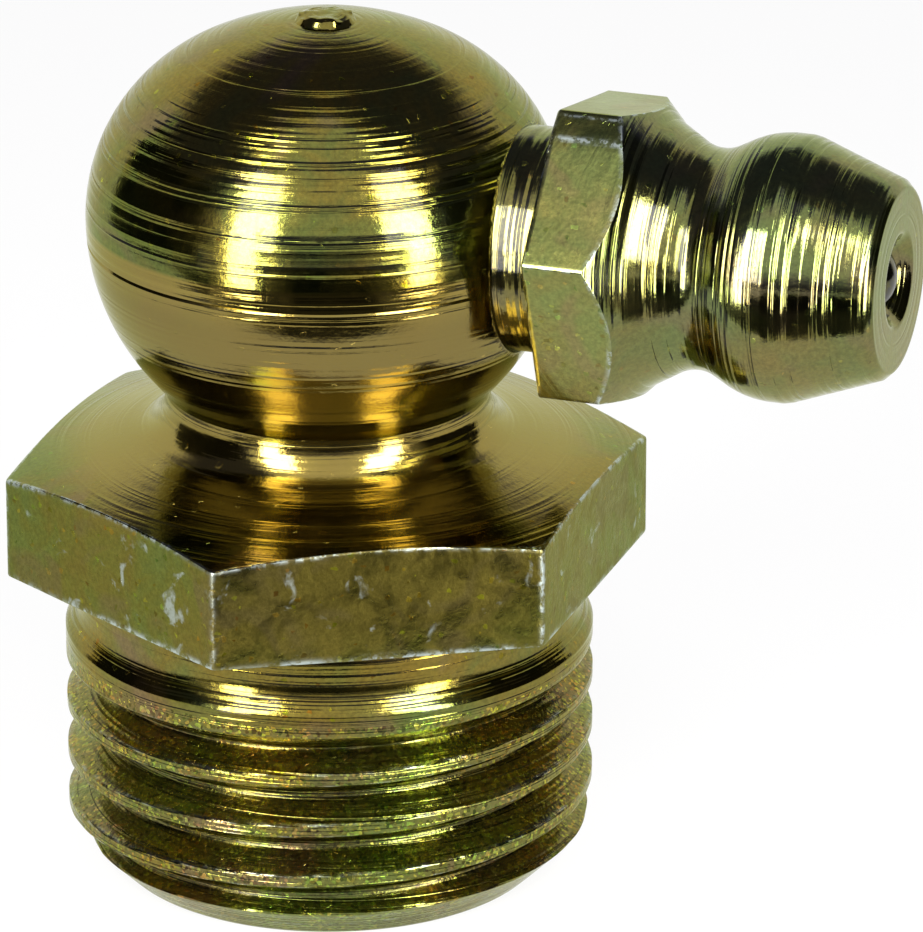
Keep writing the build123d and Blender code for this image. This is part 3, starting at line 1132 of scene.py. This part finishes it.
def square_insert(co, s, plan):
    """Pulls the bar of the insert onto its flats, with the narrow filed flat beside one corner."""
    radius, turned = polar(co)
    height = co[:, 2]
    flat = s.across_flats / 2
    planes = [(INSERT_TURN + (k + 0.5) * SECTOR, flat) for k in range(6)]
    filed_reach = flat * math.cos(FILED_TILT) + FILED_START * math.sin(FILED_TILT)
    planes.append((FILED_FACING - FILED_TILT, filed_reach))
    reach = polygon_reach(turned, planes)
    wall = (height > plan.hexagon - TOUCH) & (height < plan.taper + TOUCH)
    front = height > plan.corner - 0.05 * MM
    low = np.where(front, s.taper_start / 2, s.shank / 2 + 0.02 * MM)
    share = np.clip((radius - low) / (plan.corner_radius - low), 0, 1)
    hold = wall & (radius > low)
    wanted = np.where(hold, low + share * (reach - low), radius)
    # The 45 degree chamfer rises to meet each flat, so its points slide along it.
    chamfer = plan.corner + (plan.corner_radius - wanted)
    slid = np.maximum(height, chamfer) * share + chamfer * (1 - share)
    stretch = (chamfer - plan.hexagon) / (plan.corner - plan.hexagon)
    stretched = plan.hexagon + (height - plan.hexagon) * stretch
    station = np.where(hold, np.where(front, slid, stretched), height)

    away = corner_distance(turned, INSERT_TURN, plan.corner_radius)
    filed = np.abs(turned - FILED_EDGE) * plan.corner_radius
    # Pale lines on the corners and the filed flat's edge: partly wear, partly painted highlight.
    corners = np.maximum(wear(away, 0.035 * MM), wear(filed, 0.06 * MM))
    rims = wear(station - plan.hexagon, INSERT_RIM) + wear(chamfer - station, INSERT_RIM)
    rubbed = np.maximum(corners, np.clip(rims, 0, 1) * 0.8)
    bar = hold & (radius > plan.corner_radius - 0.05 * MM)
    return from_polar(wanted, turned, station), np.where(bar, rubbed, 0)


class NIPPLE_OT_insert(bpy.types.Operator):
    """Turns the insert with its small hexagon, coupling head and valve bore"""

    bl_idname = "nipple.insert"
    bl_label = "Side insert"

    def execute(self, context):
        s = context.scene.nipple_insert
        body = context.scene.nipple_body
        colours = context.scene.nipple_colours
        plan = InsertPlan(s, body)
        bm = insert_blank(s, plan).spin(INSERT_SEGMENTS, closed=True)
        round_blank = crowd_corners(places(bm), INSERT_TURN)
        co, edge = square_insert(round_blank, s, plan)
        keep_rings_round(bm, round_blank, co, CHAMFER_SLANT)
        move_places(bm, co)
        write_layer(bm, "edge", edge)
        write_layer(bm, "marks", np.where(co[:, 2] > plan.tip - TIP_RIM, 0.2, 0.75))
        for face in bm.faces:
            middle = face.calc_center_median()
            outer = math.hypot(middle.x, middle.y) > s.across_flats / 2 - 0.2 * MM
            if plan.hexagon < middle.z < plan.taper and outer and abs(face.normal.z) < 0.3:
                face.material_index = 1
        lay_along_insert(bm, BodyPlan(body))
        materials = [
            plated_metal("Coupling plating", colours, COUPLING),
            plated_metal("Small hexagon plating", colours, SMALL_HEXAGON),
        ]
        piece = finished_piece(bm, "coupling_insert", "fitting", materials)
        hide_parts("nipple_insert")
        return {"FINISHED"}


# --- Check valve ---

ACTIVE_TURNS = 4
STEPS_PER_TURN = 44
SPRING_GAP = 0.03 * MM
SPRING_CLEARANCE = 0.14 * MM


class NIPPLE_OT_valve_ball(bpy.types.Operator):
    """Makes the lapped ball that closes the inlet"""

    bl_idname = "nipple.valve_ball"
    bl_label = "Valve ball"

    def execute(self, context):
        s = context.scene.nipple_insert
        body = context.scene.nipple_body
        plan = InsertPlan(s, body)
        half = Profile(0, plan.ball - s.valve_ball / 2)
        half.arc((0, plan.ball), math.pi, 48)
        bm = half.spin(96)
        lay_along_insert(bm, BodyPlan(body))
        colours = context.scene.nipple_colours
        # Painted shade: the ball's steel colour is darkened for the shade in the inlet.
        steel = bare_steel("Lapped steel", colours.painted_shade_ball, colours.olive, LAPPED)
        piece = finished_piece(bm, "check_valve_ball", "check_ball", [steel])
        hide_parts("valve_ball")
        return {"FINISHED"}


class NIPPLE_OT_spring(bpy.types.Operator):
    """Winds the spring behind the ball, with a closed turn at each end"""

    bl_idname = "nipple.spring"
    bl_label = "Valve spring"

    def execute(self, context):
        s = context.scene.nipple_insert
        body = context.scene.nipple_body
        plan = InsertPlan(s, body)
        wire = s.wire / 2
        coil = s.bore / 2 - SPRING_CLEARANCE - wire
        rear = plan.crimp + SPRING_GAP + wire
        reach = s.valve_ball / 2 + SPRING_GAP + wire
        front = plan.ball - math.sqrt(reach**2 - coil**2)
        closed = s.wire + SPRING_GAP
        rise = (front - rear - 2 * closed) / ACTIVE_TURNS
        lean = math.pi / 2 + math.atan2(closed, math.tau * coil)
        ring = Matrix.Translation((coil, 0, rear)) @ Matrix.Rotation(lean, 4, "X")
        bm = bmesh.new()
        bmesh.ops.create_circle(bm, cap_ends=True, segments=10, radius=wire, matrix=ring)
        first = section = bm.faces[:]
        for turns, pitch in ((1, closed), (ACTIVE_TURNS, rise), (1, closed)):
            made = bmesh.ops.spin(
                bm,
                geom=section,
                cent=(0, 0, 0),
                axis=(0, 0, 1),
                dvec=(0, 0, pitch / STEPS_PER_TURN),
                angle=math.tau * turns,
                steps=STEPS_PER_TURN * turns,
                use_merge=False,
            )
            if section is not first:
                bmesh.ops.delete(bm, geom=section, context="FACES_ONLY")
            section = [item for item in made["geom_last"] if isinstance(item, bmesh.types.BMFace)]
        bmesh.ops.recalc_face_normals(bm, faces=bm.faces[:])
        lay_along_insert(bm, BodyPlan(body))
        colours = context.scene.nipple_colours
        steel = bare_steel("Spring wire", colours.steel, colours.olive, WIRE_DRAWN)
        piece = finished_piece(bm, "coil_spring", "fitting", [steel], sharp=60)
        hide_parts("valve_spring")
        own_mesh(piece)
        return {"FINISHED"}


# --- Stage ---

FLOOR_LIFT = 0.84
FLOOR_HEIGHT = -7.9 * MM
FLOOR_SPREAD = 900 * MM
DARK_LEVEL = 0.10
WINDOW_LEVEL = 1.1
STRIP_LEVEL = 21.0
STRIP_TINT = (1.0, 0.985, 0.94)
STRIP_DISTANCE = 60 * MM
# Each strip: its turn from the camera in degrees, then width, height and gap to the floor in mm.
STRIPS = {
    "strip_left": (-37.5, 13.6, 80.0, 1.0),
    "strip_left_inner": (-27.0, 8.4, 59.0, 22.0),
    "strip_right": (44.0, 12.8, 80.0, 1.0),
    "strip_right_inner": (33.0, 10.5, 57.0, 24.0),
}
CARD_LIFT = 0.2 * MM
CARD_NEAR, CARD_FAR, CARD_WIDTH = 22.5 * MM, 300 * MM, 150 * MM
SIDE_CARD_DISTANCE, SIDE_CARD_WIDTH, SIDE_CARD_HEIGHT = 85 * MM, 98 * MM, 70 * MM
TARGET = Vector((3.112, 1.084, 2.331)) * MM
DISTANCE = 188.3 * MM
ELEVATION = math.radians(21.165)
AZIMUTH = math.radians(19.208)
FOCAL_PIXELS = 7599.0
FRAME_PIXELS = 932.0
SENSOR_WIDTH = 36.0


def direction(azimuth, elevation=0.0):
    """Unit vector from the object towards an azimuth, counted from -Y, and an elevation."""
    flat = math.cos(elevation)
    return Vector((math.sin(azimuth) * flat, -math.cos(azimuth) * flat, math.sin(elevation)))


def aim(thing, place, target):
    """Puts a camera or lamp at a place, looking at a target."""
    thing.location = place
    thing.rotation_euler = (Vector(target) - Vector(place)).to_track_quat("-Z", "Y").to_euler()


def strip_light(name, turn, width, height, gap):
    """An upright soft strip that faces the object, with a gap between it and the floor."""
    lamp = bpy.data.lights.new(name, "AREA")
    lamp.shape = "RECTANGLE"
    lamp.size = width
    lamp.size_y = height
    lamp.energy = math.pi * width * height * STRIP_LEVEL
    lamp.color = STRIP_TINT
    strip = add_object(name, lamp)
    middle = direction(AZIMUTH + turn) * STRIP_DISTANCE
    middle.z = FLOOR_HEIGHT + gap + height / 2
    aim(strip, middle, (0, 0, middle.z))
    strip.visible_camera = False


def studio_world():
    """Bright behind, a softer window in front, dark at both sides and overhead."""
    world = bpy.data.worlds.new("Studio")
    bpy.context.scene.world = world
    n = node_helper(world)
    way = n.add("ShaderNodeTexCoord").outputs["Generated"]
    height = n.add("ShaderNodeSeparateXYZ", {}, Vector=way).outputs["Z"]
    along = n.dot(way, direction(AZIMUTH + math.pi))
    side = n.dot(way, direction(AZIMUTH + math.pi / 2))
    level = n.minus(1.0, n.times(height, height))
    turn = n.math("DIVIDE", along, n.math("SQRT", n.math("MAXIMUM", level, 1e-4)))
    behind = n.times(n.range(turn, 0.36, 0.56), n.range(height, 0.53, 0.68, 1.0, 0.0))
    outward = n.math("MAXIMUM", side, n.times(side, -0.72))
    window = n.range(n.plus(along, outward), 0.08, -0.04, 0.0, WINDOW_LEVEL)
    window = n.times(window, n.range(n.math("ABSOLUTE", side), 0.94, 0.74))
    window = n.times(window, n.range(height, 0.06, 0.15, 0.12, 1.0))
    shade = n.times(n.range(turn, -0.93, -0.97), n.range(height, 0.12, 0.30, 0.7, 0.0))
    bright = n.plus(behind, n.times(window, n.minus(1.0, shade)))
    tone = n.mix(bright, (0.6, 0.6, 1.0, 1.0), (1.0, 1.0, 1.0, 1.0))
    strength = n.plus(bright, DARK_LEVEL)
    light = n.add("ShaderNodeBackground", {}, Color=tone, Strength=strength)
    n.add("ShaderNodeOutputWorld", {}, Surface=light.outputs[0])


def flat_sheet(name, width, depth, place, material):
    """A level rectangle, moved to its place and given to the stage."""
    bm = bmesh.new()
    bmesh.ops.create_grid(bm, x_segments=1, y_segments=1, size=0.5)
    bmesh.ops.scale(bm, vec=(width, depth, 1), verts=bm.verts[:])
    bmesh.ops.transform(bm, matrix=place, verts=bm.verts[:])
    mesh = mesh_from(bm, name)
    mesh.materials.append(material)
    sheet = add_object(name, mesh)
    return sheet


def dark_card(name, turn, width, depth, place):
    """A black card that only the metal sees, placed as seen from the camera and then turned."""
    round_z = Matrix.Rotation(AZIMUTH + turn, 4, "Z")
    flock = bpy.data.materials.get("Black card") or black_card("Black card")
    card = flat_sheet(name, width, depth, round_z @ place, flock)
    card.visible_camera = False
    card.visible_diffuse = False
    card.visible_shadow = False


class NIPPLE_OT_stage(bpy.types.Operator):
    """Sets the pale floor, the soft strips and the camera"""

    bl_idname = "nipple.stage"
    bl_label = "Stage"

    def execute(self, context):
        finish = floor_finish("Pale floor", context.scene.nipple_colours)
        level = Matrix.Translation((0, 0, FLOOR_HEIGHT))
        flat_sheet("floor", 2 * FLOOR_SPREAD, 2 * FLOOR_SPREAD, level, finish)
        studio_world()
        for name, (turn, *sizes) in STRIPS.items():
            strip_light(name, math.radians(turn), *(size * MM for size in sizes))
        lying = Matrix.Translation((0, -(CARD_NEAR + CARD_FAR) / 2, FLOOR_HEIGHT + CARD_LIFT))
        dark_card("card_front", 0, CARD_WIDTH, CARD_FAR - CARD_NEAR, lying)
        middle = (0, -SIDE_CARD_DISTANCE, FLOOR_HEIGHT + SIDE_CARD_HEIGHT / 2)
        upright = Matrix.Translation(middle) @ Matrix.Rotation(math.pi / 2, 4, "X")
        for name, turn in (("card_left", -math.pi / 2), ("card_right", math.pi / 2)):
            dark_card(name, turn, SIDE_CARD_WIDTH, SIDE_CARD_HEIGHT, upright)

        camera = bpy.data.cameras.new("camera")
        camera.sensor_width = SENSOR_WIDTH
        camera.lens = FOCAL_PIXELS / FRAME_PIXELS * SENSOR_WIDTH
        camera.clip_start = 10 * MM
        camera.clip_end = 5000 * MM
        view = add_object("camera", camera)
        aim(view, TARGET + direction(AZIMUTH, ELEVATION) * DISTANCE, TARGET)
        context.scene.camera = view
        context.scene.view_settings.view_transform = "Standard"
        return {"FINISHED"}


class NIPPLE_PT_panel(bpy.types.Panel):
    """Lists the pieces in the order they are made"""

    bl_idname = "NIPPLE_PT_panel"
    bl_label = "Elbow grease nipple"
    bl_space_type = "VIEW_3D"
    bl_region_type = "UI"
    bl_category = "Nipple"

    def draw(self, context):
        for group in ("nipple_body", "nipple_insert", "nipple_colours"):
            holder = getattr(context.scene, group)
            box = self.layout.box()
            for key in holder.bl_rna.properties.keys():
                if key not in {"rna_type", "name"}:
                    box.prop(holder, key)
        for piece in STEPS:
            self.layout.operator(piece.bl_idname)


STEPS = (
    NIPPLE_OT_body,
    NIPPLE_OT_insert,
    NIPPLE_OT_valve_ball,
    NIPPLE_OT_spring,
    NIPPLE_OT_stage,
)
CLASSES = (BodySizes, InsertSizes, FinishColours, *STEPS, NIPPLE_PT_panel)


def register():
    """Adds the classes and the scene's settings."""
    for item in CLASSES:
        bpy.utils.register_class(item)
    bpy.types.Scene.nipple_body = PointerProperty(type=BodySizes)
    bpy.types.Scene.nipple_insert = PointerProperty(type=InsertSizes)
    bpy.types.Scene.nipple_colours = PointerProperty(type=FinishColours)


def unregister():
    """Takes them away again."""
    del bpy.types.Scene.nipple_colours
    del bpy.types.Scene.nipple_insert
    del bpy.types.Scene.nipple_body
    for item in reversed(CLASSES):
        bpy.utils.unregister_class(item)


def main():
    """Makes every piece and the stage."""
    register()
    bpy.ops.nipple.body()
    bpy.ops.nipple.insert()
    bpy.ops.nipple.valve_ball()
    bpy.ops.nipple.spring()
    bpy.ops.nipple.stage()


if __name__ == "__main__":
    main()
